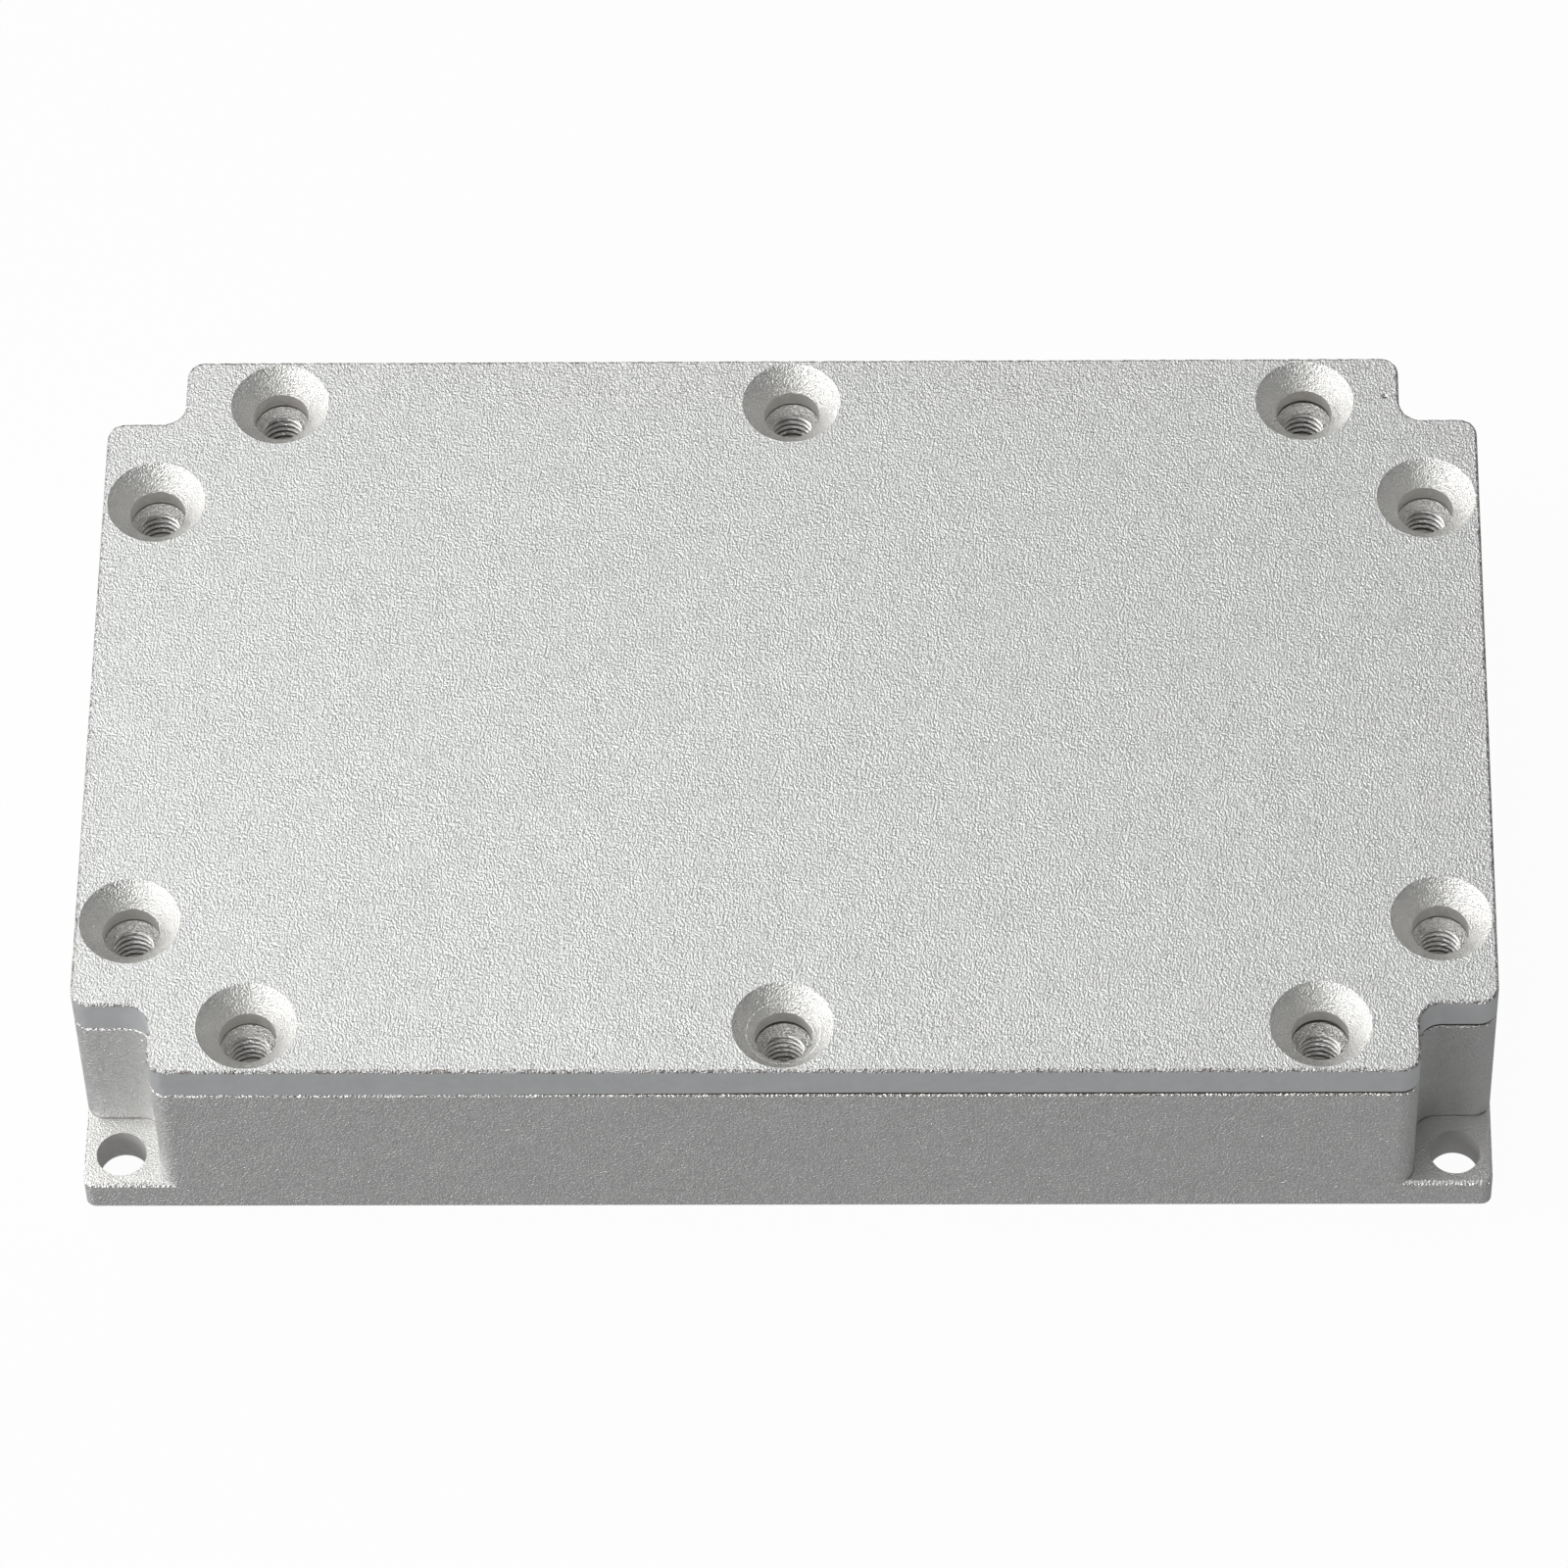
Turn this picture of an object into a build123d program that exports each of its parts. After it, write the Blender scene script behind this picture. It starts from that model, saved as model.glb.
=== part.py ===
from build123d import *
import os

# Shielding enclosure: a box milled from solid aluminium, with a mounting ear left standing
# in a notch at each corner, and a flat lid of the same notched outline. Ten countersunk
# screws would hold the lid down on ten tapped lands of the box.
# Millimetres, +Z up, +X along the length, origin at the centre of the underside.

os.makedirs("parts", exist_ok=True)

# Outline shared by the box and the lid
length = 84.0
width = 52.0
notch = 4.7
corner_radius = 1.1
notch_radius = 1.4
edge_break = 0.2

# Heights
box_height = 12.5
lid_thickness = 2.5
ear_thickness = 2.5
floor_thickness = 2.5

# Pocket
wall = 2.5
land_half_width = 3.2
pocket_radius = 2.0

# Screws of the lid, M3
screw_rows = 2
screws_in_row = 3
screw_inset = 3.25
row_screw_from_notch = 5.8
side_screw_from_notch = 5.95
clearance_diameter = 3.4
head_diameter = 6.0
tap_drill_diameter = 2.5
tap_mouth_diameter = 3.4
tap_depth = 8.0
countersink_angle = 90.0
drill_tip_height = 0.75

# Mounting holes in the ears
ear_hole_diameter = 3.0
ear_hole_inset = 2.2
ear_corner_radius = 0.6

# Places worked out from the sizes above
notched_length = length - 2 * notch
notched_width = width - 2 * notch
row_pitch = notched_length / 2 - row_screw_from_notch
row_spacing = width - 2 * screw_inset
side_spacing_x = length - 2 * screw_inset
side_spacing_y = notched_width - 2 * side_screw_from_notch
row_screws = GridLocations(row_pitch, row_spacing, screws_in_row, screw_rows)
side_screws = GridLocations(side_spacing_x, side_spacing_y, 2, 2)
screw_places = [*row_screws.locations, *side_screws.locations]

# Notched outline: a rectangle less a square at each corner, rounded at every corner
with BuildSketch() as outline:
    Rectangle(length, width)
    with GridLocations(length, width, 2, 2):
        Rectangle(2 * notch, 2 * notch, mode=Mode.SUBTRACT)
    corners = outline.vertices()
    inner_corners = [
        v for v in corners if abs(v.X) < length / 2 - notch / 2 and abs(v.Y) < width / 2 - notch / 2
    ]
    fillet(inner_corners, notch_radius)
    outer_corners = [v for v in corners if v not in inner_corners]
    fillet(outer_corners, corner_radius)

# Foot: the full rectangle, whose corners are the ears
with BuildSketch() as foot:
    RectangleRounded(length, width, ear_corner_radius)

# Pocket plan: a core as wide as the notches allow, with bays out to the walls between the
# lands that carry the screws
with BuildSketch(Plane.XY.offset(floor_thickness)) as pocket:
    Rectangle(notched_length - 2 * wall, notched_width - 2 * wall)
    Rectangle(length - 2 * wall, side_spacing_y - 2 * land_half_width)
    with GridLocations(row_pitch, 0, screws_in_row - 1, 1):
        Rectangle(row_pitch - 2 * land_half_width, width - 2 * wall)
    fillet(pocket.vertices(), pocket_radius)

# Box: foot with its ears, walls, pocket, tapped holes and mounting holes
with BuildPart() as box:
    add(foot.sketch)
    extrude(amount=ear_thickness)
    foot_top = box.faces().sort_by(Axis.Z)[-1]
    chamfer(foot_top.edges(), edge_break)
    add(outline.sketch)
    extrude(amount=box_height)
    rim = box.faces().sort_by(Axis.Z)[-1]
    underside = box.faces().sort_by(Axis.Z)[0]
    chamfer(rim.edges() + underside.edges(), edge_break)
    add(pocket.sketch)
    extrude(amount=box_height - floor_thickness, mode=Mode.SUBTRACT)
    with Locations((0, 0, box_height)):
        with Locations(*screw_places):
            CounterSinkHole(tap_drill_diameter / 2, tap_mouth_diameter / 2, tap_depth, countersink_angle)
    with Locations((0, 0, box_height - tap_depth)):
        with Locations(*screw_places):
            Cone(
                0,
                tap_drill_diameter / 2,
                drill_tip_height,
                align=(Align.CENTER, Align.CENTER, Align.MAX),
                mode=Mode.SUBTRACT,
            )
    with Locations((0, 0, ear_thickness)):
        with GridLocations(length - 2 * ear_hole_inset, width - 2 * ear_hole_inset, 2, 2):
            Hole(ear_hole_diameter / 2, ear_thickness)

box.part.label = "box"
export_step(box.part, "parts/box.step")

# Lid: the notched plate, seated on the rim of the box, with a countersunk hole over each
# tapped one
with BuildPart(Plane.XY.offset(box_height)) as lid:
    add(outline.sketch)
    extrude(amount=lid_thickness)
    lid_top = lid.faces().sort_by(Axis.Z)[-1]
    chamfer(lid_top.edges(), edge_break)
    with Locations((0, 0, lid_thickness)):
        with Locations(*screw_places):
            CounterSinkHole(clearance_diameter / 2, head_diameter / 2, lid_thickness, countersink_angle)

lid.part.label = "lid"
export_step(lid.part, "parts/lid.step")
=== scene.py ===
import math

import bmesh
import bpy
from mathutils import Matrix, Vector, noise
from mathutils.geometry import delaunay_2d_cdt


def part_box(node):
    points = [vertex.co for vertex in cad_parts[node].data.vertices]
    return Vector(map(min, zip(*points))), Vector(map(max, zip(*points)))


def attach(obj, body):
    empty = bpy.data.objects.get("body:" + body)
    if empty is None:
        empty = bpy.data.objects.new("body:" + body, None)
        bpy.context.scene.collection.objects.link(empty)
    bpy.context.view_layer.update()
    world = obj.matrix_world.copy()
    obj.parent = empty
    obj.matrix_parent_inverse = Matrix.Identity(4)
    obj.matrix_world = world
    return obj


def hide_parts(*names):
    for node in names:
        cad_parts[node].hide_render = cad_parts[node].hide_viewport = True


# Shielding enclosure: finely modelled skins for the box and the lid, their metal, the studio
# and the camera. Lengths are millimetres until a mesh or an object is made.

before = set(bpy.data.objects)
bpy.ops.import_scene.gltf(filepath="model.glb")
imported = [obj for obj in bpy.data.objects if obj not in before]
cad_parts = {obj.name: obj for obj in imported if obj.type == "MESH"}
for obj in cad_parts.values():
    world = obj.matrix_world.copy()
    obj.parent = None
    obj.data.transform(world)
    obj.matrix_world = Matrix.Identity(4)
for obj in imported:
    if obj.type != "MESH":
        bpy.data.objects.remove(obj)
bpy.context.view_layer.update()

MM = 0.001

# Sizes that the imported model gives
box_low, box_high = (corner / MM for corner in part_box("box"))
lid_low, lid_high = (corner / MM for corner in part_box("lid"))
HALF_LENGTH = (box_high.x - box_low.x) / 2
HALF_WIDTH = (box_high.y - box_low.y) / 2
SEAM_Z = lid_low.z
TOP_Z = lid_high.z

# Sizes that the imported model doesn't name, as in the part's source
NOTCH = 4.7
CORNER_RADIUS = 1.1
NOTCH_RADIUS = 1.4
EAR_TOP_Z = 2.5
EAR_CORNER_RADIUS = 0.6
FLOOR_Z = 2.5
EDGE_BREAK = 0.2
WALL = 2.5
LAND_HALF_WIDTH = 3.2
POCKET_RADIUS = 2.0
SCREW_INSET = 3.25
ROW_SCREW_FROM_NOTCH = 5.8
SIDE_SCREW_FROM_NOTCH = 5.95
CLEARANCE_RADIUS = 1.7
HEAD_RADIUS = 3.0
TAP_DRILL_RADIUS = 1.25
TAP_MOUTH_RADIUS = 1.7
TAP_DEPTH = 8.0
DRILL_TIP_HEIGHT = 0.75
EAR_HOLE_RADIUS = 1.5
EAR_HOLE_INSET = 2.2

# Places worked out from them
SHOULDER_X = HALF_LENGTH - NOTCH
SHOULDER_Y = HALF_WIDTH - NOTCH
ROW_PITCH = SHOULDER_X - ROW_SCREW_FROM_NOTCH
ROW_Y = HALF_WIDTH - SCREW_INSET
SIDE_X = HALF_LENGTH - SCREW_INSET
SIDE_Y = SHOULDER_Y - SIDE_SCREW_FROM_NOTCH
SCREW_PLACES = [(x, y) for x in (-ROW_PITCH, 0.0, ROW_PITCH) for y in (-ROW_Y, ROW_Y)]
SCREW_PLACES += [(x, y) for x in (-SIDE_X, SIDE_X) for y in (-SIDE_Y, SIDE_Y)]
FRONT_MIDDLE_SCREW = (0.0, -ROW_Y)
# The signs of x and y in each quarter, counterclockwise
QUARTERS = ((1, 1), (-1, 1), (-1, -1), (1, -1))

# Sampling, shading and welding of the meshes
EDGE_STEP = 0.12
ARC_STEPS = 9
HOLE_SIDES = 72
THREAD_SIDES = 48
ROUNDED_EDGE_ANGLES = (0.0, math.pi / 6, math.pi / 3, math.pi / 2)
SHARP_ANGLE = math.radians(40)
WELD_DISTANCE = 2e-4
CAP_TOLERANCE = 1e-6
# The output of delaunay_2d_cdt that has triangles inside the border and none in the holes
INSIDE_WITHOUT_HOLES = 2

# The screw thread, and painted shade in its roots that deepens from the mouth down
THREAD_PITCH = 0.5
THREAD_HEIGHT = 0.26
# Turns over which the groove reaches its depth below the mouth, and fades above the bottom
THREAD_TURNS_IN = 0.4
THREAD_TURNS_OUT = 1.0
# One turn of it from the middle of a crest down: share of the pitch, depth of the groove as a
# share of the thread's height, and how much painted shade lies there
THREAD_PROFILE = [
    (0.0, 0.0, 0.0),
    (0.075, 0.0, 0.0),
    (0.375, 1.0, 1.0),
    (0.625, 1.0, 1.0),
    (0.73, 0.65, 1.0),
    (0.82, 0.35, 0.0),
    (0.925, 0.0, 0.0),
]
# Share of the painted shade that lies at the mouth, and the depth below which all of it does
PAINTED_SHADE_AT_MOUTH = 0.6
PAINTED_SHADE_FULL_DEPTH = 1.8

# Worn edges: the lid's upper one, the box's rim and the ears' upper ones
LID_EDGE_LEAST = 0.10
LID_EDGE_RAGGEDNESS = 0.13
RIM_RAGGEDNESS = 0.06
RIM_BRIGHT_WIDTH = 0.07
RIM_BRIGHT_RAGGEDNESS = 0.03
EAR_RAGGEDNESS = 0.02
EAR_BRIGHT_SHARE = 0.4
# How far short of the walls' planes the ears' wear sets in
EAR_WEAR_LEAD = 0.4
# Wear: its mean, and the coarse and the fine waves' share and number to a millimetre. The shift
# sets the fine waves off from the coarse ones.
WEAR_MEAN = 0.5
WEAR_COARSE_SHARE = 0.5
WEAR_COARSE = 2.3
WEAR_FINE_SHARE = 0.6
WEAR_FINE = 6.1
WEAR_FINE_SHIFT = 7.3
# Levels of the noise at which each worn line is cut, so that none repeats another
EAR_LOWER_LEVEL = 3.0
EAR_UPPER_LEVEL = 4.0
RIM_LOWER_LEVEL = 5.0
RIM_UPPER_LEVEL = 9.0

# The fine fillet between an ear and the walls, with its line of painted shade in the crease
FOOT_FILLET = 0.06
FOOT_FILLET_RISE = 0.5
FOOT_PAINTED_SHADE = 0.7
FOOT_PAINTED_SHADE_HEIGHT = 0.16

# The ledge that chatter left in the front middle countersink
STEP_RING_RADIUS = 2.25
STEP_RING_WIDTH = 0.13
STEP_RING_DROP = 0.09

# The lid's lower edge, broken hardly at the left and plainly at the right, and that of its bores,
# broken wider at three screws of the rows, which are named by column and row
SEAM_GROOVE_LEFT = 0.02
SEAM_GROOVE_RIGHT = 0.20
SEAM_GROOVE_DEPTH = 0.3
SEAM_GROOVE_FROM_X = -22.0
SEAM_GROOVE_TO_X = 4.0
BORE_GROOVE = 0.14
WIDE_BORE_GROOVES = {(0, -1): 0.26, (1, -1): 0.30, (1, 1): 0.24}


class Shell:
    """Faces gathered patch by patch, in millimetres, and welded into one closed mesh."""

    def __init__(self, finishes):
        self.finishes = finishes
        self.points = []
        self.unshaded = []
        self.faces = []
        self.face_finish = []
        self.face_smooth = []

    def add_points(self, points):
        """Points of three numbers, or of four where the last says how free of painted shade it is.
        """
        start = len(self.points)
        for p in points:
            self.points.append(tuple(p[:3]))
            self.unshaded.append(p[3] if len(p) > 3 else 1.0)
        return list(range(start, len(self.points)))

    def add_face(self, corners, finish, smooth):
        self.faces.append(tuple(corners))
        self.face_finish.append(self.finishes.index(finish))
        self.face_smooth.append(smooth)

    def strip(self, first, second, finish, closed=True, smooth=True):
        """Quads between two lines of the same number of points."""
        a = self.add_points(first)
        b = self.add_points(second)
        count = len(a) if closed else len(a) - 1
        for i in range(count):
            j = (i + 1) % len(a)
            self.add_face((a[i], a[j], b[j], b[i]), finish, smooth)

    def tower(self, rings, finish, smooth=True):
        """Strips between each closed ring and the next."""
        indices = [self.add_points(ring) for ring in rings]
        for a, b in zip(indices, indices[1:]):
            for i in range(len(a)):
                j = (i + 1) % len(a)
                self.add_face((a[i], a[j], b[j], b[i]), finish, smooth)

    def helix(self, columns, rows_per_turn, finish):
        """Faces between the columns of a screw thread; the last meets the first one turn up."""
        indices = [self.add_points(column) for column in columns]
        pairs = [(a, b, 0) for a, b in zip(indices, indices[1:])]
        pairs.append((indices[-1], indices[0], rows_per_turn))
        for a, b, shift in pairs:
            for k in range(len(a) - 1):
                above = b[max(k - shift, 0)]
                below = b[max(k + 1 - shift, 0)]
                corners = dict.fromkeys((a[k], a[k + 1], below, above))
                self.add_face(corners, finish, True)

    def cap(self, outer, holes, finish):
        """A flat, level face inside the outer ring and outside the holes."""
        z = outer[0][2]
        loops = [outer, *holes]
        flat = [Vector(p[:2]) for loop in loops for p in loop]
        borders = []
        start = 0
        for loop in loops:
            borders.append(list(range(start, start + len(loop))))
            start += len(loop)
        made = delaunay_2d_cdt(flat, [], borders, INSIDE_WITHOUT_HOLES, CAP_TOLERANCE)
        points, _, triangles = made[:3]
        indices = self.add_points((p.x, p.y, z) for p in points)
        for corners in triangles:
            self.add_face([indices[c] for c in corners], finish, False)

    def fan(self, ring, tip, finish):
        """Triangles from a closed ring to a point."""
        a = self.add_points(ring)
        (centre,) = self.add_points([tip])
        for i in range(len(a)):
            self.add_face((a[i], a[(i + 1) % len(a)], centre), finish, True)

    def piece(self, name, node, slot, materials):
        """The welded mesh, with the edges between finishes sharp, in place of a CAD node."""
        mesh = bpy.data.meshes.new(name)
        mesh.from_pydata([Vector(p) * MM for p in self.points], [], self.faces)
        for polygon, finish, smooth in zip(mesh.polygons, self.face_finish, self.face_smooth):
            polygon.material_index = finish
            polygon.use_smooth = smooth
        unshaded = mesh.attributes.new("unshaded", "FLOAT", "POINT")
        unshaded.data.foreach_set("value", self.unshaded)
        work = bmesh.new()
        work.from_mesh(mesh)
        bmesh.ops.remove_doubles(work, verts=work.verts, dist=WELD_DISTANCE * MM)
        bmesh.ops.dissolve_degenerate(work, edges=work.edges, dist=WELD_DISTANCE * MM)
        bmesh.ops.recalc_face_normals(work, faces=work.faces)
        bmesh.ops.triangulate(work, faces=[f for f in work.faces if len(f.verts) > 4])
        for edge in work.edges:
            faces = edge.link_faces
            round_there = all(face.smooth for face in faces)
            one_finish = len({face.material_index for face in faces}) == 1
            edge.smooth = round_there and one_finish and edge.calc_face_angle(0.0) < SHARP_ANGLE
        work.to_mesh(mesh)
        work.free()
        for finish in self.finishes:
            mesh.materials.append(materials[finish])
        piece = bpy.data.objects.new(name, mesh)
        bpy.context.scene.collection.objects.link(piece)
        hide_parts(node)
        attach(piece, "root")


def spread(value, start, end, low, high):
    """value moved from start..end to low..high, smoothly and without going past them."""
    t = min(max((value - start) / (end - start), 0.0), 1.0)
    return low + (high - low) * t * t * (3 - 2 * t)


def ring(x, y, radius, z, sides=HOLE_SIDES):
    """A level circle round a place."""
    turns = [2 * math.pi * i / sides for i in range(sides)]
    return [(x + radius * math.cos(t), y + radius * math.sin(t), z) for t in turns]


def line(start, end, normal):
    """Samples (x, y and an outward normal) from start up to end, without end."""
    count = max(1, round(math.dist(start, end) / EDGE_STEP))
    return [
        (
            start[0] + (end[0] - start[0]) * i / count,
            start[1] + (end[1] - start[1]) * i / count,
            *normal,
        )
        for i in range(count)
    ]


def arc(centre, radius, angles, hollow=False):
    """Samples on an arc, with normals that point out of the solid."""
    side = -1 if hollow else 1
    return [
        (
            centre[0] + radius * math.cos(a),
            centre[1] + radius * math.sin(a),
            side * math.cos(a),
            side * math.sin(a),
        )
        for a in angles
    ]


def even(start, end, count):
    """Evenly spaced values from start to end, both included."""
    return [start + (end - start) * i / count for i in range(count + 1)]


# The angles on a convex corner, with one where the outline is an edge break inside the foot
CORNER_BREAK_STEPS = 3
CORNER_BREAK_SAMPLES = CORNER_BREAK_STEPS + 1
BREAK_ANGLE = math.acos(1 - EDGE_BREAK / CORNER_RADIUS)
CORNER_ANGLES = [
    *even(0.0, BREAK_ANGLE, CORNER_BREAK_STEPS),
    *even(BREAK_ANGLE, math.pi / 2 - BREAK_ANGLE, CORNER_BREAK_STEPS)[1:],
    *even(math.pi / 2 - BREAK_ANGLE, math.pi / 2, CORNER_BREAK_STEPS)[1:],
]


def quarter_outline():
    """The notched outline from +X round to +Y, as samples of its side, its notch and its back."""
    side_end = (HALF_LENGTH, SHOULDER_Y - CORNER_RADIUS)
    side = line((HALF_LENGTH, 0.0), side_end, (1, 0))
    first = arc((HALF_LENGTH - CORNER_RADIUS, side_end[1]), CORNER_RADIUS, CORNER_ANGLES)
    floor_end = (SHOULDER_X + NOTCH_RADIUS, SHOULDER_Y)
    shelf = line(first[-1][:2], floor_end, (0, 1))[1:]
    hollow_centre = (SHOULDER_X + NOTCH_RADIUS, SHOULDER_Y + NOTCH_RADIUS)
    hollow = arc(hollow_centre, NOTCH_RADIUS, even(1.5 * math.pi, math.pi, ARC_STEPS), True)
    riser_end = (SHOULDER_X, HALF_WIDTH - CORNER_RADIUS)
    riser = line(hollow[-1][:2], riser_end, (1, 0))[1:]
    second = arc((SHOULDER_X - CORNER_RADIUS, riser_end[1]), CORNER_RADIUS, CORNER_ANGLES)
    back = line(second[-1][:2], (0.0, HALF_WIDTH), (0, 1))[1:]
    back.append((0.0, HALF_WIDTH, 0, 1))
    return side, [*first, *shelf, *hollow, *riser, *second], back


def quarter_foot(notch_samples):
    """The foot's edge round the same corner. Its first and last few samples stand beside those of
    the notched outline's arcs, up to where the arc is an edge break inside the foot."""
    first = [(HALF_LENGTH, s[1], 1, 0) for s in notch_samples[:CORNER_BREAK_SAMPLES]]
    last = [(s[0], HALF_WIDTH, 0, 1) for s in notch_samples[-CORNER_BREAK_SAMPLES:]]
    corner_x = HALF_LENGTH - EAR_CORNER_RADIUS
    corner_y = HALF_WIDTH - EAR_CORNER_RADIUS
    side = line(first[-1][:2], (HALF_LENGTH, corner_y), (1, 0))[1:]
    bend = arc((corner_x, corner_y), EAR_CORNER_RADIUS, even(0.0, math.pi / 2, ARC_STEPS))
    back = line(bend[-1][:2], last[0][:2], (0, 1))[1:]
    return [*first, *side, *bend, *back, *last]


def mirrored(samples, sx, sy):
    """The samples in another quarter, still counterclockwise."""
    moved = [(sx * x, sy * y, sx * nx, sy * ny) for x, y, nx, ny in samples]
    return moved if sx * sy > 0 else moved[::-1]


def all_round(quarter):
    """A quarter from +X to +Y copied round all four quarters, each shared end once."""
    whole = []
    for sx, sy in QUARTERS:
        whole += mirrored(quarter, sx, sy)[:-1]
    return whole


def at(samples, z, inset=0.0):
    """The samples as points at one height, moved in along their normals."""
    return [(x - inset * nx, y - inset * ny, z) for x, y, nx, ny in samples]


def ragged(x, y, level):
    """0 to 1, changing every tenth of a millimetre or so: how far an edge is worn back."""
    coarse = noise.noise(Vector((x * WEAR_COARSE, y * WEAR_COARSE, level)))
    fine = noise.noise(Vector((x * WEAR_FINE, y * WEAR_FINE, level + WEAR_FINE_SHIFT)))
    wear = WEAR_MEAN + WEAR_COARSE_SHARE * coarse + WEAR_FINE_SHARE * fine
    return min(max(wear, 0.0), 1.0)


def rounded_edge(samples, z, radius, depth):
    """Rings over a worn, rounded edge, from the side up to the flat, all inside the sharp one."""
    rings = []
    for angle in ROUNDED_EDGE_ANGLES:
        row = []
        for x, y, nx, ny in samples:
            worn = radius + depth * ragged(x, y, angle)
            inset = worn * (1 - math.cos(angle))
            row.append((x - inset * nx, y - inset * ny, z - worn * (1 - math.sin(angle))))
        rings.append(row)
    return rings


def seam_groove(x):
    """How high the lid's lower edge is broken."""
    return spread(x, SEAM_GROOVE_FROM_X, SEAM_GROOVE_TO_X, SEAM_GROOVE_LEFT, SEAM_GROOVE_RIGHT)


def cone_ring(x, y, radius, drop=0.0):
    """A ring on the 90 degree countersink at a hole, or as much below it as drop."""
    return ring(x, y, radius, TOP_Z - (HEAD_RADIUS - radius) - drop)


def add_screw_hole(shell, x, y):
    """Adds a countersink and the bore under it. Returns its ring at the top and at the seam."""
    rim = cone_ring(x, y, HEAD_RADIUS)
    throat = cone_ring(x, y, CLEARANCE_RADIUS)
    if (x, y) == FRONT_MIDDLE_SCREW:
        upper = cone_ring(x, y, STEP_RING_RADIUS)
        dropped = cone_ring(x, y, STEP_RING_RADIUS, STEP_RING_DROP)
        lower = cone_ring(x, y, STEP_RING_RADIUS - STEP_RING_WIDTH)
        shell.tower([rim, upper], "lid_cone")
        shell.tower([upper, dropped], "lid_bore")
        shell.tower([dropped, lower], "lid_cone", smooth=False)
        shell.tower([lower, throat], "lid_cone")
    else:
        shell.tower([rim, throat], "lid_cone")
    groove = WIDE_BORE_GROOVES.get((x / ROW_PITCH, y / ROW_Y), BORE_GROOVE)
    bore_end = ring(x, y, CLEARANCE_RADIUS, SEAM_Z + groove)
    mouth = ring(x, y, CLEARANCE_RADIUS + groove, SEAM_Z)
    shell.tower([throat, bore_end], "lid_bore")
    # The bore's broken lower edge is painted dark as shade
    shell.tower([bore_end, mouth], "lid_gap", smooth=False)
    return rim, mouth


def build_lid(materials):
    """The notched plate with its countersunk holes, from the seam up."""
    shell = Shell(
        ["lid_top", "lid_edge", "lid_side", "lid_cone", "lid_bore", "lid_gap", "lid_under"]
    )
    side, notch_samples, back = quarter_outline()
    outline = all_round([*side, *notch_samples, *back])
    lower_side = [(x, y, SEAM_Z + seam_groove(x)) for x, y, _, _ in outline]
    under = at(outline, SEAM_Z, SEAM_GROOVE_DEPTH)
    edge = rounded_edge(outline, TOP_Z, LID_EDGE_LEAST, LID_EDGE_RAGGEDNESS)
    # The lid's broken lower edge is painted dark as the seam's shade
    shell.strip(under, lower_side, "lid_gap", smooth=False)
    shell.strip(lower_side, edge[0], "lid_side")
    shell.tower(edge, "lid_edge")
    holes = [add_screw_hole(shell, x, y) for x, y in SCREW_PLACES]
    shell.cap(edge[-1], [rim for rim, _ in holes], "lid_top")
    shell.cap(under, [mouth for _, mouth in holes], "lid_under")
    shell.piece("lid_skin", "lid", "lid_aluminium", materials)


def pocket_outline():
    """The pocket's plan, a core with bays out to the walls between the screw lands."""
    core_x = SHOULDER_X - WALL
    core_y = SHOULDER_Y - WALL
    bay_x = HALF_LENGTH - WALL
    bay_y = SIDE_Y - LAND_HALF_WIDTH
    row_low = LAND_HALF_WIDTH
    row_high = ROW_PITCH - LAND_HALF_WIDTH
    row_y = HALF_WIDTH - WALL
    # From +X round to +Y: x, y, and 1 for a turn to the left, -1 for a turn to the right
    corners = [
        (bay_x, 0.0, 0),
        (bay_x, bay_y, 1),
        (core_x, bay_y, -1),
        (core_x, core_y, 1),
        (row_high, core_y, -1),
        (row_high, row_y, 1),
        (row_low, row_y, 1),
        (row_low, core_y, -1),
        (0.0, core_y, 0),
    ]
    samples = [(bay_x, 0.0, 1, 0)]
    for before, here, after in zip(corners, corners[1:], corners[2:]):
        corner = Vector(here[:2])
        start = corner + (Vector(before[:2]) - corner).normalized() * POCKET_RADIUS
        end = corner + (Vector(after[:2]) - corner).normalized() * POCKET_RADIUS
        centre = start + end - corner
        from_angle = math.atan2(start.y - centre.y, start.x - centre.x)
        angles = even(from_angle, from_angle + here[2] * math.pi / 2, ARC_STEPS)
        samples += arc(centre, POCKET_RADIUS, angles, here[2] < 0)
    samples.append((0.0, core_y, 0, 1))
    return all_round(samples)


def thread_columns(x, y):
    """Lines down a tapped hole, each of whose points lies on a helix of the thread's profile."""
    top = SEAM_Z - (TAP_MOUTH_RADIUS - TAP_DRILL_RADIUS)
    bottom = SEAM_Z - TAP_DEPTH
    turns_down = math.ceil((top - bottom) / THREAD_PITCH) + 1
    columns = []
    for i in range(THREAD_SIDES):
        turn = i / THREAD_SIDES
        cosine = math.cos(2 * math.pi * turn)
        sine = math.sin(2 * math.pi * turn)
        column = []
        for n in range(turns_down):
            for share, depth, painted_share in THREAD_PROFILE:
                z = min(max(top + (turn - n - share) * THREAD_PITCH, bottom), top)
                turns_in = (top - z) / (THREAD_TURNS_IN * THREAD_PITCH)
                turns_out = (z - bottom) / (THREAD_TURNS_OUT * THREAD_PITCH)
                fade = min(1.0, turns_in, turns_out)
                # Painted shade in the thread's roots, growing stronger deeper down the hole
                shade_here = fade * painted_share * spread(top - z, 0.0, PAINTED_SHADE_FULL_DEPTH, PAINTED_SHADE_AT_MOUTH, 1.0)
                radius = TAP_DRILL_RADIUS + fade * THREAD_HEIGHT * depth
                column.append((x + radius * cosine, y + radius * sine, z, 1.0 - shade_here))
        column.append((x + TAP_DRILL_RADIUS * cosine, y + TAP_DRILL_RADIUS * sine, bottom))
        columns.append(column)
    return columns


# The height from which the foot's upper edge is broken
BREAK_Z = EAR_TOP_Z - EDGE_BREAK


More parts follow.
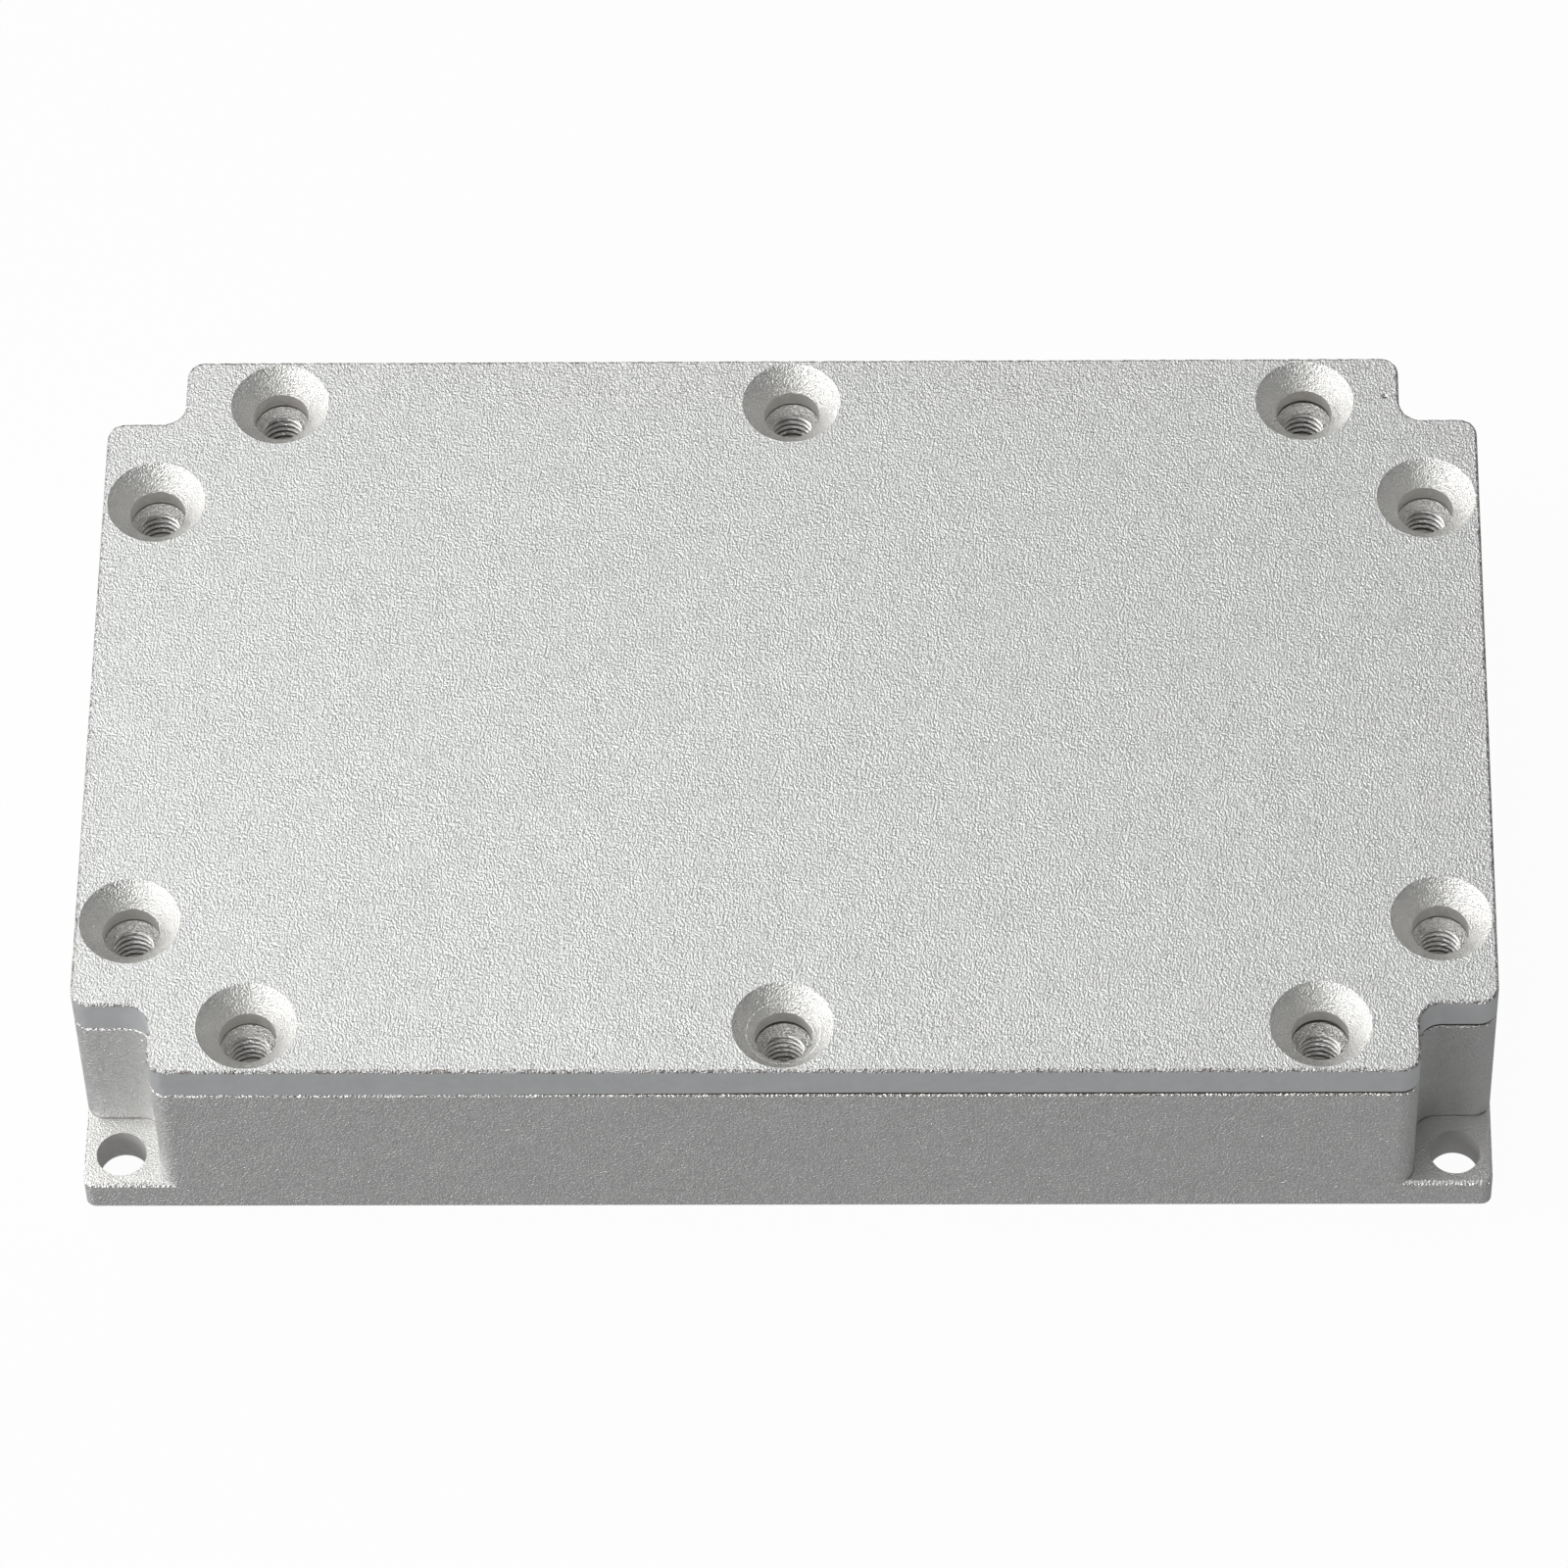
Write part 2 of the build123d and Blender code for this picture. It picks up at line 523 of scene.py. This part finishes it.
def ear_wear(x, y, level):
    """How far an ear's upper edge is worn, none near the walls."""
    from_walls = min(abs(x) - SHOULDER_X, abs(y) - SHOULDER_Y)
    return EAR_RAGGEDNESS * min(max(from_walls + EAR_WEAR_LEAD, 0.0), 1.0) * ragged(x, y, level)


def foot_edge(sample):
    """The lower side of the foot's broken edge."""
    x, y = sample[:2]
    return (x, y, BREAK_Z - ear_wear(x, y, EAR_LOWER_LEVEL))


def foot_break(sample):
    """The upper side of the foot's broken edge."""
    x, y, nx, ny = sample
    inset = EDGE_BREAK + ear_wear(x, y, EAR_UPPER_LEVEL)
    return (x - inset * nx, y - inset * ny, EAR_TOP_Z)


def inside_foot(sample):
    """How far a sample of the notched outline lies inside the foot's edge."""
    return min(HALF_LENGTH - abs(sample[0]), HALF_WIDTH - abs(sample[1]))


def fillet_size(sample):
    """The small fillet between an ear and the walls, which fades out at the ear's edges."""
    return min(FOOT_FILLET_RISE * max(inside_foot(sample) - EDGE_BREAK, 0.0), FOOT_FILLET)


def wall_foot(sample):
    """Where the outer wall meets the foot: on an ear, or at an ear's broken edge."""
    x, y, nx, ny = sample
    out = fillet_size(sample)
    return (x + out * nx, y + out * ny, BREAK_Z + min(inside_foot(sample), EDGE_BREAK))


def wall_start(sample):
    """The upper side of the fillet at the outer wall's foot, with painted shade over an ear."""
    x, y = sample[:2]
    fillet = fillet_size(sample)
    z = BREAK_Z + min(inside_foot(sample), EDGE_BREAK) + fillet
    return (x, y, z, 1.0 - FOOT_PAINTED_SHADE * fillet / FOOT_FILLET)


def ear_hole(sx, sy):
    """The place of the mounting hole in a quarter's ear."""
    return sx * (HALF_LENGTH - EAR_HOLE_INSET), sy * (HALF_WIDTH - EAR_HOLE_INSET)


def add_foot(shell, foot):
    """Adds the underside, its broken edge, and the foot's wall."""
    underside = at(foot, 0.0, EDGE_BREAK)
    lower = at(foot, EDGE_BREAK)
    holes = [ring(*ear_hole(sx, sy), EAR_HOLE_RADIUS, 0.0) for sx in (1, -1) for sy in (1, -1)]
    shell.cap(underside, holes, "box_wall")
    shell.strip(underside, lower, "box_edge", smooth=False)
    shell.strip(lower, [foot_edge(s) for s in foot], "box_wall")


def add_ear(shell, foot_part, notch_part, hole):
    """Adds an ear's broken edge, its upper face and its hole. The edge's inner line starts and
    ends on the walls, and the face lies between the rest of it and the walls in the notch."""
    count = CORNER_BREAK_SAMPLES
    walls = [wall_foot(s) for s in notch_part]
    inner = [*walls[:count], *(foot_break(s) for s in foot_part[count:-count]), *walls[-count:]]
    lower = [foot_edge(s) for s in foot_part]
    middle = [Vector(a).lerp(Vector(b), EAR_BRIGHT_SHARE) for a, b in zip(lower, inner)]
    shell.strip(lower, middle, "box_edge", closed=False, smooth=False)
    shell.strip(middle, inner, "box_ear", closed=False, smooth=False)
    face = [*inner[count - 1:-count + 1], *walls[count:-count][::-1]]
    rim = ring(*hole, EAR_HOLE_RADIUS, EAR_TOP_Z)
    shell.cap([(x, y, EAR_TOP_Z) for x, y, _ in face], [rim], "box_ear")
    shell.tower([rim, ring(*hole, EAR_HOLE_RADIUS, 0.0)], "box_bore")


def add_outer_wall(shell, outline):
    """Adds the outer wall and its broken, worn rim: bright below, and painted dark above for the
    seam's shade.
    """
    rim_edge = []
    rim_middle = []
    for x, y, nx, ny in outline:
        drop = EDGE_BREAK + RIM_RAGGEDNESS * ragged(x, y, RIM_LOWER_LEVEL)
        inset = RIM_BRIGHT_WIDTH + RIM_BRIGHT_RAGGEDNESS * ragged(x, y, RIM_UPPER_LEVEL)
        rim_edge.append((x, y, SEAM_Z - drop))
        rim_middle.append((x - inset * nx, y - inset * ny, SEAM_Z - EDGE_BREAK + inset))
    # Painted shade along the crease over an ear, fading out a little way up the wall
    start = [wall_start(s) for s in outline]
    above_shade = [(x, y, z + FOOT_PAINTED_SHADE_HEIGHT) for x, y, z, _ in start]
    shell.strip([wall_foot(s) for s in outline], start, "box_fillet", smooth=False)
    shell.tower([start, above_shade, rim_edge], "box_wall")
    shell.strip(rim_edge, rim_middle, "box_edge", smooth=False)
    # The rim's upper band is painted dark as the shade in the seam under the lid
    shell.strip(rim_middle, at(outline, SEAM_Z, EDGE_BREAK), "box_gap", smooth=False)


def add_pocket(shell, pocket):
    """Adds the pocket's walls and floor."""
    shell.strip(at(pocket, SEAM_Z), at(pocket, FLOOR_Z), "box_milled")
    shell.cap(at(pocket, FLOOR_Z), [], "box_milled")


def add_tapped_hole(shell, x, y):
    """Adds a countersunk mouth, the thread under it and the drill's tip. Returns the mouth's
    upper ring."""
    mouth = ring(x, y, TAP_MOUTH_RADIUS, SEAM_Z, THREAD_SIDES)
    threads = thread_columns(x, y)
    shell.tower([mouth, [column[0] for column in threads]], "box_mouth")
    shell.helix(threads, len(THREAD_PROFILE), "box_thread")
    tip_z = SEAM_Z - TAP_DEPTH - DRILL_TIP_HEIGHT
    shell.fan([column[-1] for column in threads], (x, y, tip_z), "box_thread")
    return mouth


def build_box(materials):
    """The milled box from its underside up, with its ears, pocket and tapped holes."""
    shell = Shell(
        [
            "box_wall", "box_edge", "box_gap", "box_fillet", "box_ear", "box_bore", "box_mouth",
            "box_thread", "box_milled",
        ]
    )
    side, notch_samples, back = quarter_outline()
    foot_samples = quarter_foot(notch_samples)
    outline = all_round([*side, *notch_samples, *back])
    pocket = pocket_outline()
    add_foot(shell, all_round([*side, *foot_samples, *back]))
    for sx, sy in QUARTERS:
        foot_part = mirrored(foot_samples, sx, sy)
        add_ear(shell, foot_part, mirrored(notch_samples, sx, sy), ear_hole(sx, sy))
    add_outer_wall(shell, outline)
    add_pocket(shell, pocket)
    mouths = [add_tapped_hole(shell, x, y) for x, y in SCREW_PLACES]
    shell.cap(at(outline, SEAM_Z, EDGE_BREAK), [at(pocket, SEAM_Z), *mouths], "box_milled")
    shell.piece("box_skin", "box", "box_aluminium", materials)


# Sockets of a Mix node that mixes colours
MIX_FIRST = 6
MIX_SECOND = 7
MIX_RESULT = 2

# Share of a mark's half size up to which it has its full height
MARK_CORE = 0.4


class Nodes:
    """Short calls for the nodes of one material."""

    def __init__(self, material):
        material.use_nodes = True
        self.tree = material.node_tree
        self.shader = self.tree.nodes["Principled BSDF"]

    def add(self, kind, **settings):
        node = self.tree.nodes.new(kind)
        for name, value in settings.items():
            setattr(node, name, value)
        return node

    def link(self, output, socket):
        self.tree.links.new(output, socket)

    def place(self, turn, stretch):
        """Object coordinates turned by three angles in degrees and drawn out by stretch."""
        mapping = self.add("ShaderNodeMapping", vector_type="TEXTURE")
        mapping.inputs["Rotation"].default_value = [math.radians(t) for t in turn]
        mapping.inputs["Scale"].default_value = (stretch, 1.0, 1.0)
        self.link(self.add("ShaderNodeTexCoord").outputs["Object"], mapping.inputs["Vector"])
        return mapping.outputs["Vector"]

    def noise(self, place, size, octaves):
        """Noise whose waves are size mm long."""
        texture = self.add("ShaderNodeTexNoise")
        texture.inputs["Scale"].default_value = 1 / (size * MM)
        texture.inputs["Detail"].default_value = octaves
        texture.inputs["Roughness"].default_value = 0.5
        self.link(place, texture.inputs["Vector"])
        return texture.outputs["Fac"]

    def ranged(self, value, start, end, low, high, smooth=False):
        """value moved from start..end to low..high."""
        node = self.add("ShaderNodeMapRange")
        if smooth:
            node.interpolation_type = "SMOOTHSTEP"
        node.inputs["From Min"].default_value = start
        node.inputs["From Max"].default_value = end
        node.inputs["To Min"].default_value = low
        node.inputs["To Max"].default_value = high
        self.link(value, node.inputs["Value"])
        return node.outputs["Result"]

    def blend(self, share, first, second):
        """The first colour where share is 0, the second where it is 1; either may be an output."""
        node = self.add("ShaderNodeMix", data_type="RGBA")
        self.link(share, node.inputs["Factor"])
        for index, colour in ((MIX_FIRST, first), (MIX_SECOND, second)):
            if isinstance(colour, bpy.types.NodeSocket):
                self.link(colour, node.inputs[index])
            else:
                node.inputs[index].default_value = (*colour, 1)
        return node.outputs[MIX_RESULT]

    def unshaded(self):
        """1 where the mesh says that a face is unshaded, falling to 0 where painted shade covers
        it.
        """
        return self.add("ShaderNodeAttribute", attribute_name="unshaded").outputs["Fac"]

    def more(self, value, mask, most):
        """value, with most added where the mask is 1 and nothing where it is 0."""
        node = self.add("ShaderNodeMath", operation="MULTIPLY_ADD")
        node.inputs[1].default_value = most
        self.link(mask, node.inputs[0])
        self.link(value, node.inputs[2])
        return node.outputs["Value"]

    def spot(self, centre, turn, half_sizes):
        """1 inside an ellipsoid given in mm and turned by degrees, falling to 0 at its border."""
        mapping = self.add("ShaderNodeMapping", vector_type="TEXTURE")
        mapping.inputs["Location"].default_value = [c * MM for c in centre]
        mapping.inputs["Rotation"].default_value = [math.radians(t) for t in turn]
        mapping.inputs["Scale"].default_value = [h * MM for h in half_sizes]
        self.link(self.add("ShaderNodeTexCoord").outputs["Object"], mapping.inputs["Vector"])
        length = self.add("ShaderNodeVectorMath", operation="LENGTH")
        self.link(mapping.outputs["Vector"], length.inputs[0])
        return self.ranged(length.outputs["Value"], 1.0, MARK_CORE, 0, 1, smooth=True)

    def bump(self, height, depth, under=None):
        """Relief of the given depth in mm, on top of what is under it."""
        node = self.add("ShaderNodeBump")
        node.inputs["Strength"].default_value = 1.0
        node.inputs["Distance"].default_value = depth * MM
        self.link(height, node.inputs["Height"])
        if under:
            self.link(under, node.inputs["Normal"])
        return node.outputs["Normal"]


# Colours of the metal's finishes, of what lies on or in them, and of the painted shade in gaps,
# creases and thread roots
LID = (0.825, 0.835, 0.82)
GREY = (0.77, 0.77, 0.765)
COOL = (0.845, 0.855, 0.865)
CUT = (0.94, 0.935, 0.915)
# A duller, slightly darker metal, partly painted shade in the ears' bores and the fillet's crease
DULL_AND_SHADE = (0.72, 0.715, 0.71)
BORE = (0.90, 0.885, 0.86)
# Painted shade for the thread roots and the crease at the walls' foot
PAINTED_SHADE = (0.10, 0.085, 0.075)
PIT = (0.42, 0.375, 0.355)
# Painted shade on the sides of the seam and of the bores' lower edges
GAP_SHADE = (0.12, 0.105, 0.09)
SPARKLE = (1.0, 0.99, 0.97)

# How the noise lies, in degrees: off the planes of the faces, and along the lid's drawn-out grain
OFF_AXIS = (35.0, 25.0, 10.0)
LID_GRAIN_TURN = (0.0, 0.0, -100.0)
LID_GRAIN_STRETCH = 1.3

# The range that most of the noise lies in, and the values from which specks and pits appear
NOISE_LOW = 0.3
NOISE_HIGH = 0.7
SPECK_START = 0.61
SPECK_END = 0.71
PIT_START = 0.48
PIT_END = 0.38

# Broad unevenness of tone and of polish: size in mm, octaves and spread
TONE_SIZE = 1.3
TONE_OCTAVES = 3
TONE_SPREAD = 0.025
POLISH_SIZE = 0.4
POLISH_OCTAVES = 2
POLISH_SPREAD = 0.05

# What specks and marks add to the roughness
SPECK_POLISH = -0.30
MARK_POLISH = -0.30


def metal(
    name, colour, roughness, grains, specks=None, marks=(), pits=None, turn=OFF_AXIS, stretch=1.0
):
    """Bare aluminium. Each grain is its size in mm, its height in mm and its octaves of detail.
    Specks are the size and height in mm of sparse, smooth bumps that catch the light, pits the
    size of sparse dark dots. Marks are scratches and dents: their centre in mm, turn in degrees,
    half sizes and height in mm. Turn and stretch say how the noise lies: turned off the planes
    of the faces, or along a drawn-out grain."""
    material = bpy.data.materials.new(name)
    nodes = Nodes(material)
    shader = nodes.shader
    shader.inputs["Metallic"].default_value = 1.0
    place = nodes.place(turn, stretch)

    # Tone, polish and the blasted or cut relief
    uneven = nodes.noise(place, TONE_SIZE, TONE_OCTAVES)
    tone = nodes.ranged(uneven, NOISE_LOW, NOISE_HIGH, 0, 1)
    darker = [c * (1 - TONE_SPREAD) for c in colour]
    lighter = [c * (1 + TONE_SPREAD) for c in colour]
    shade = nodes.blend(tone, darker, lighter)
    normal = None
    for size, height, octaves in grains:
        normal = nodes.bump(nodes.noise(place, size, octaves), height, normal)
    uneven = nodes.noise(place, POLISH_SIZE, POLISH_OCTAVES)
    least = roughness - POLISH_SPREAD
    most = roughness + POLISH_SPREAD
    polish = nodes.ranged(uneven, NOISE_LOW, NOISE_HIGH, least, most)

    # Specks, pits and marks
    if specks:
        size, height = specks
        high = nodes.noise(place, size, 1)
        bright = nodes.ranged(high, SPECK_START, SPECK_END, 0, 1, smooth=True)
        normal = nodes.bump(bright, height, normal)
        polish = nodes.more(polish, bright, SPECK_POLISH)
        shade = nodes.blend(bright, shade, SPARKLE)
    if pits:
        low = nodes.noise(place, pits, 1)
        dark = nodes.ranged(low, PIT_START, PIT_END, 0, 1, smooth=True)
        shade = nodes.blend(dark, shade, PIT)
    for centre, mark_turn, half_sizes, height in marks:
        marked = nodes.spot(centre, mark_turn, half_sizes)
        normal = nodes.bump(marked, height, normal)
        polish = nodes.more(polish, marked, MARK_POLISH)
        shade = nodes.blend(marked, shade, SPARKLE)

    # Painted shade over all of it, from the mesh's per-point attribute
    nodes.link(nodes.blend(nodes.unshaded(), PAINTED_SHADE, shade), shader.inputs["Base Color"])
    nodes.link(normal, shader.inputs["Normal"])
    nodes.link(polish, shader.inputs["Roughness"])
    return material


SCRATCH_HALF_WIDTH = 0.10
SCRATCH_HEIGHT = 0.085
# How far a mark's ellipsoid reaches into the metal
MARK_REACH = 1.0


def scratch(x, z, slope, length):
    """The mark of a raised scratch on the front wall, which slopes by degrees up to the right."""
    centre = (x, -HALF_WIDTH, z)
    turn = (0.0, -slope, 0.0)
    half_sizes = (length / 2, MARK_REACH, SCRATCH_HALF_WIDTH)
    return centre, turn, half_sizes, SCRATCH_HEIGHT


# Scratches as x, z, slope and length, and a dent in the lid's back right corner
WALL_MARKS = [
    scratch(-16.3, 8.6, 30.0, 0.6),
    scratch(18.5, 11.45, 0.0, 1.1),
    scratch(29.65, 2.65, 20.0, 0.8),
    scratch(-10.7, 3.9, 12.0, 0.9),
    scratch(15.1, 1.0, 10.0, 0.4),
]
TOP_DENT = (36.44, 23.08, TOP_Z), (0.0, 0.0, 0.0), (0.20, 0.20, MARK_REACH), -0.10


def make_materials():
    """The finishes of the lid and the box, by name. Those of a gap are painted shade on its sides.
    """
    finishes = {
        "lid_top": dict(
            colour=LID,
            roughness=0.40,
            grains=[(0.128, 0.069, 1.0), (0.07, 0.0135, 1.0)],
            marks=[TOP_DENT],
            turn=LID_GRAIN_TURN,
            stretch=LID_GRAIN_STRETCH,
        ),
        "lid_edge": dict(colour=GREY, roughness=0.30, grains=[(0.12, 0.16, 1.5)], pits=0.25),
        "lid_side": dict(colour=COOL, roughness=0.55, grains=[(0.20, 0.006, 1.0)]),
        "lid_cone": dict(colour=CUT, roughness=0.34, grains=[(0.12, 0.12, 1.5)]),
        "lid_bore": dict(colour=BORE, roughness=0.70, grains=[(0.15, 0.015, 1.0)]),
        # Painted shade on the lid's side of the seam and on the bores' lower edges
        "lid_gap": dict(colour=GAP_SHADE, roughness=0.60, grains=[(0.15, 0.015, 1.0)]),
        "lid_under": dict(colour=GREY, roughness=0.45, grains=[(0.15, 0.03, 1.0)]),
        "box_wall": dict(
            colour=GREY,
            roughness=0.55,
            grains=[(0.135, 0.155, 1.0)],
            specks=(0.145, 0.10),
            marks=WALL_MARKS,
        ),
        "box_edge": dict(colour=CUT, roughness=0.25, grains=[(0.17, 0.20, 1.5)]),
        # Painted shade on the rim's upper band in the seam
        "box_gap": dict(colour=GAP_SHADE, roughness=0.60, grains=[(0.15, 0.015, 1.0)]),
        # The fillet's darker metal is partly painted shade in the crease
        "box_fillet": dict(colour=DULL_AND_SHADE, roughness=0.50, grains=[(0.10, 0.03, 1.5)]),
        "box_ear": dict(colour=CUT, roughness=0.50, grains=[(0.12, 0.10, 1.5)]),
        # The ears' bores' darker metal is partly painted shade in the holes
        "box_bore": dict(colour=DULL_AND_SHADE, roughness=0.85, grains=[(0.15, 0.02, 1.0)]),
        "box_mouth": dict(colour=CUT, roughness=0.30, grains=[(0.10, 0.11, 1.5)]),
        "box_thread": dict(colour=CUT, roughness=0.32, grains=[(0.13, 0.03, 1.0)]),
        "box_milled": dict(colour=GREY, roughness=0.45, grains=[(0.15, 0.03, 1.0)]),
    }
    return {name: metal(name, **finish) for name, finish in finishes.items()}


# The studio, in metres. Camera rays see the floor white, with a trace of its own lit colour that
# keeps the object's shadow. Glossy rays see the greys of the floor and the world.
FLOOR_SIZE = 6.0
FLOOR_COLOUR = 0.8
FLOOR_WHITE = 0.965
FLOOR_GLOSSY = 0.30
WORLD_GLOSSY = 0.04
SOFTBOX_DISTANCE = 1.0
SOFTBOX_FLOOR_GAP = 0.01

# Name, direction to the lamp (azimuth and elevation in degrees, azimuth 0 along +X and 90 along
# +Y), size, and brightness of the lamp's own surface
SOFTBOXES = [
    ("left_back_low", 135, 12, 0.42, 3.70),
    ("left_low", 180, 12, 0.42, 2.84),
    ("left_front_low", 225, 12, 0.42, 6.00),
    ("front_low", 270, 12, 0.42, 0.23),
    ("right", 0, 28, 0.50, 0.47),
    ("right_back", 45, 28, 0.50, 0.77),
    ("left", 180, 28, 0.50, 0.91),
    ("left_front", 250, 28, 0.22, 0.97),
    ("left_front_middle", 245, 36, 0.22, 1.32),
    ("back_high", 90, 50, 0.50, 0.77),
    ("left_back_high", 120, 50, 0.50, 0.99),
    ("left_high", 180, 50, 0.50, 2.79),
    ("left_front_high", 225, 50, 0.22, 1.65),
    ("front_left_high", 250, 50, 0.22, 2.68),
    ("front_high", 270, 50, 0.22, 2.51),
    ("front_right_high", 300, 50, 0.22, 0.94),
    ("overhead", 135, 75, 0.45, 2.30),
]


def softbox(name, azimuth, elevation, size, brightness):
    """A square area lamp aimed at the object, whose own surface has the given brightness."""
    data = bpy.data.lights.new(name, "AREA")
    data.size = size
    data.energy = brightness * math.pi * size * size
    lamp = bpy.data.objects.new(name, data)
    bpy.context.scene.collection.objects.link(lamp)
    a = math.radians(azimuth)
    e = math.radians(elevation)
    towards = Vector((math.cos(a) * math.cos(e), math.sin(a) * math.cos(e), math.sin(e)))
    lamp.location = towards * SOFTBOX_DISTANCE
    lamp.location.z = max(lamp.location.z, size / 2 + SOFTBOX_FLOOR_GAP)
    lamp.rotation_euler = towards.to_track_quat("Z", "Y").to_euler()


class Seen:
    """Light Path outputs: what camera and transmission rays see, and what glossy rays see."""

    def __init__(self, tree, grey):
        self.tree = tree
        rays = tree.nodes.new("ShaderNodeLightPath")
        self.glossy = rays.outputs["Is Glossy Ray"]
        camera = rays.outputs["Is Camera Ray"]
        self.white = self.math("MAXIMUM", camera, rays.outputs["Is Transmission Ray"])
        self.strength = self.math("MULTIPLY_ADD", self.glossy, grey, self.white)

    def math(self, operation, *values):
        node = self.tree.nodes.new("ShaderNodeMath")
        node.operation = operation
        for socket, value in zip(node.inputs, values):
            if isinstance(value, float):
                socket.default_value = value
            else:
                self.tree.links.new(value, socket)
        return node.outputs["Value"]


def make_floor():
    """A pale floor: white to the camera where it is lit, greyer in the object's shadow."""
    mesh = bpy.data.meshes.new("floor")
    half = FLOOR_SIZE / 2
    corners = [(-half, -half, 0), (half, -half, 0), (half, half, 0), (-half, half, 0)]
    mesh.from_pydata(corners, [], [(0, 1, 2, 3)])
    floor = bpy.data.objects.new("floor", mesh)
    bpy.context.scene.collection.objects.link(floor)
    material = bpy.data.materials.new("floor")
    material.use_nodes = True
    nodes = material.node_tree.nodes
    links = material.node_tree.links
    shader = nodes["Principled BSDF"]
    shader.inputs["Base Color"].default_value = (FLOOR_COLOUR, FLOOR_COLOUR, FLOOR_COLOUR, 1)
    shader.inputs["Roughness"].default_value = 1.0
    shader.inputs["Specular IOR Level"].default_value = 0.0
    seen = Seen(material.node_tree, FLOOR_GLOSSY)
    emission = nodes.new("ShaderNodeEmission")
    links.new(seen.strength, emission.inputs["Strength"])
    blend = nodes.new("ShaderNodeMixShader")
    share = seen.math("MULTIPLY_ADD", seen.white, FLOOR_WHITE, seen.glossy)
    links.new(share, blend.inputs["Fac"])
    links.new(shader.outputs["BSDF"], blend.inputs[1])
    links.new(emission.outputs["Emission"], blend.inputs[2])
    links.new(blend.outputs["Shader"], nodes["Material Output"].inputs["Surface"])
    material.cycles.emission_sampling = "NONE"
    mesh.materials.append(material)


def make_world():
    """White to the camera, a dark grey to glossy rays, and no light on the rest."""
    world = bpy.data.worlds.new("studio")
    bpy.context.scene.world = world
    world.use_nodes = True
    background = world.node_tree.nodes["Background"]
    background.inputs["Color"].default_value = (1, 1, 1, 1)
    seen = Seen(world.node_tree, WORLD_GLOSSY)
    world.node_tree.links.new(seen.strength, background.inputs["Strength"])


# The camera, in mm and degrees, as fitted to the corners and hole rims in the photograph
CAMERA_LENS = 204.24
CAMERA_SENSOR = 36.0
CAMERA_AZIMUTH = math.radians(2.497)
CAMERA_ELEVATION = math.radians(55.614)
CAMERA_ROLL = math.radians(-2.217)
CAMERA_DISTANCE = 549.073
CAMERA_AIM = Vector((-0.570, 4.596, 0.0))
CAMERA_CLIP_START = 10.0


def make_camera():
    """A camera that looks at its aim from above the front, turned about its axis by the roll."""
    data = bpy.data.cameras.new("camera")
    data.lens = CAMERA_LENS
    data.sensor_width = CAMERA_SENSOR
    data.clip_start = CAMERA_CLIP_START * MM
    camera = bpy.data.objects.new("camera", data)
    bpy.context.scene.collection.objects.link(camera)
    level = math.cos(CAMERA_ELEVATION)
    back = Vector((
        math.sin(CAMERA_AZIMUTH) * level,
        -math.cos(CAMERA_AZIMUTH) * level,
        math.sin(CAMERA_ELEVATION),
    ))
    side = Vector((math.cos(CAMERA_AZIMUTH), math.sin(CAMERA_AZIMUTH), 0))
    over = back.cross(side)
    right = side * math.cos(CAMERA_ROLL) + over * math.sin(CAMERA_ROLL)
    up = over * math.cos(CAMERA_ROLL) - side * math.sin(CAMERA_ROLL)
    place = Matrix.Translation((CAMERA_AIM + back * CAMERA_DISTANCE) * MM)
    camera.matrix_world = place @ Matrix((right, up, back)).transposed().to_4x4()
    bpy.context.scene.camera = camera


materials = make_materials()
build_lid(materials)
build_box(materials)
make_floor()
make_world()
for lamp in SOFTBOXES:
    softbox(*lamp)
make_camera()
bpy.context.scene.view_settings.view_transform = "Standard"
